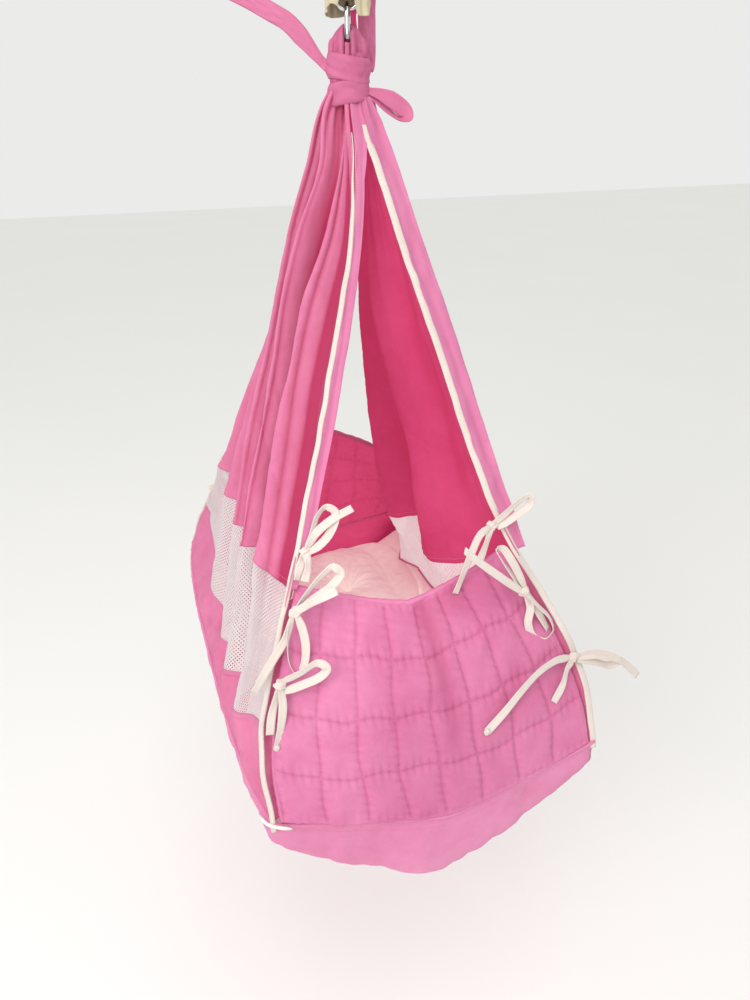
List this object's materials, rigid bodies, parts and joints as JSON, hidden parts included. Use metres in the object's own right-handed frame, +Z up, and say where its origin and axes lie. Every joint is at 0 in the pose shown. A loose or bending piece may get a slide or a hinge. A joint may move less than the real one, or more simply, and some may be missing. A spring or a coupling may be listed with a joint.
{
  "type": "hanging baby cradle swing",
  "caption": "Gathered cotton baby cradle with quilted end flaps, mesh windows, tape ties, mattress and pillow, hung from a snap link, ring, sleeved spring and swivel.",
  "frame": {"origin": "centre of the hanging eye's hole, from which the whole cradle hangs", "axes": "+Z up along the hanging line, +X across the cradle towards its right side panel, +Y along the cradle from the foot end to the head end, along the hanging eye's hole"},
  "size_m": [0.4827, 0.6806, 1.158],
  "materials": {
    "zinc_steel": "zinc plated, satin",
    "chromed_steel": "bright plated",
    "brass": "plain",
    "beige_cotton": "plain-weave cotton",
    "cream_tape": "cotton tape",
    "mesh_net": "knitted diamond mesh",
    "quilted_pink_cotton": "quilted in squares",
    "pink_cotton": "plain-weave cotton",
    "pale_cotton": "brushed cotton over foam"
  },
  "bodies": {
    "hanger": {"swivel_eye": "zinc_steel", "swivel_nut": "zinc_steel"},
    "swivel_base": {"swivel_washer": "brass", "swivel_housing": "zinc_steel", "swivel_lower_eye": "zinc_steel", "spring_upper_hook": "zinc_steel", "spring_coil": "zinc_steel", "spring_sleeve": "beige_cotton", "sleeve_band": "cream_tape"},
    "bouncer": {"spring_lower_hook": "zinc_steel"},
    "ring": {"link_ring": "chromed_steel"},
    "gate": {"snap_link_gate": "chromed_steel", "gate_spring": "zinc_steel"},
    "cradle": {"snap_link_body": "chromed_steel", "gate_pin": "zinc_steel", "head_loop": "pink_cotton", "wrap_lower_band": "pink_cotton", "wrap_upper_band": "pink_cotton", "wrap_bow_loop": "pink_cotton", "left_strap_tail": "pink_cotton", "right_strap_tail": "pink_cotton", "left_upper_panel": "pink_cotton", "right_upper_panel": "pink_cotton", "left_mesh_window": "mesh_net", "right_mesh_window": "mesh_net", "left_lower_panel": "pink_cotton", "right_lower_panel": "pink_cotton", "left_foot_binding": "cream_tape", "right_foot_binding": "cream_tape", "left_head_binding": "cream_tape", "right_head_binding": "cream_tape", "left_foot_facing": "pink_cotton", "right_foot_facing": "pink_cotton", "left_head_facing": "pink_cotton", "right_head_facing": "pink_cotton", "foot_flap": "quilted_pink_cotton", "head_flap": "quilted_pink_cotton", "base_cover": "pink_cotton", "mattress": "pale_cotton", "pillow": "pale_cotton", "tie_foot_left_low": "cream_tape", "tie_foot_left_mid": "cream_tape", "tie_foot_left_top": "cream_tape", "tie_foot_right_low": "cream_tape", "tie_foot_right_mid": "cream_tape", "tie_foot_right_top": "cream_tape", "tie_head_left_low": "cream_tape", "tie_head_left_mid": "cream_tape", "tie_head_left_top": "cream_tape", "tie_head_right_low": "cream_tape", "tie_head_right_mid": "cream_tape", "tie_head_right_top": "cream_tape"}
  },
  "joints": [
    {"name": "swivel_spin", "type": "hinge", "parent": "hanger", "child": "swivel_base", "pos_m": [0, 0, -0.029], "axis": [0, 0, 1], "continuous": true},
    {"name": "spring_bounce", "type": "slide", "parent": "swivel_base", "child": "bouncer", "axis": [0, 0, -1], "range_m": [0, 0.09], "stiffness_N_per_m": 1330, "springref_m": -0.015, "deforming": ["spring_coil"]},
    {"name": "ring_sway", "type": "hinge", "parent": "bouncer", "child": "ring", "pos_m": [0, 0, -0.2209], "axis": [0.309, 0.9511, 0], "range_deg": [-12, 12]},
    {"name": "cradle_sway", "type": "hinge", "parent": "ring", "child": "cradle", "pos_m": [0, 0, -0.241], "axis": [0.9511, -0.309, 0], "range_deg": [-15, 15]},
    {"name": "gate_open", "type": "hinge", "parent": "cradle", "child": "gate", "pos_m": [0.0034, 0.01046, -0.2623], "axis": [0.9511, -0.309, 0], "range_deg": [0, 20], "stiffness_Nm_per_rad": 0.02, "springref_deg": -28.65}
  ]
}
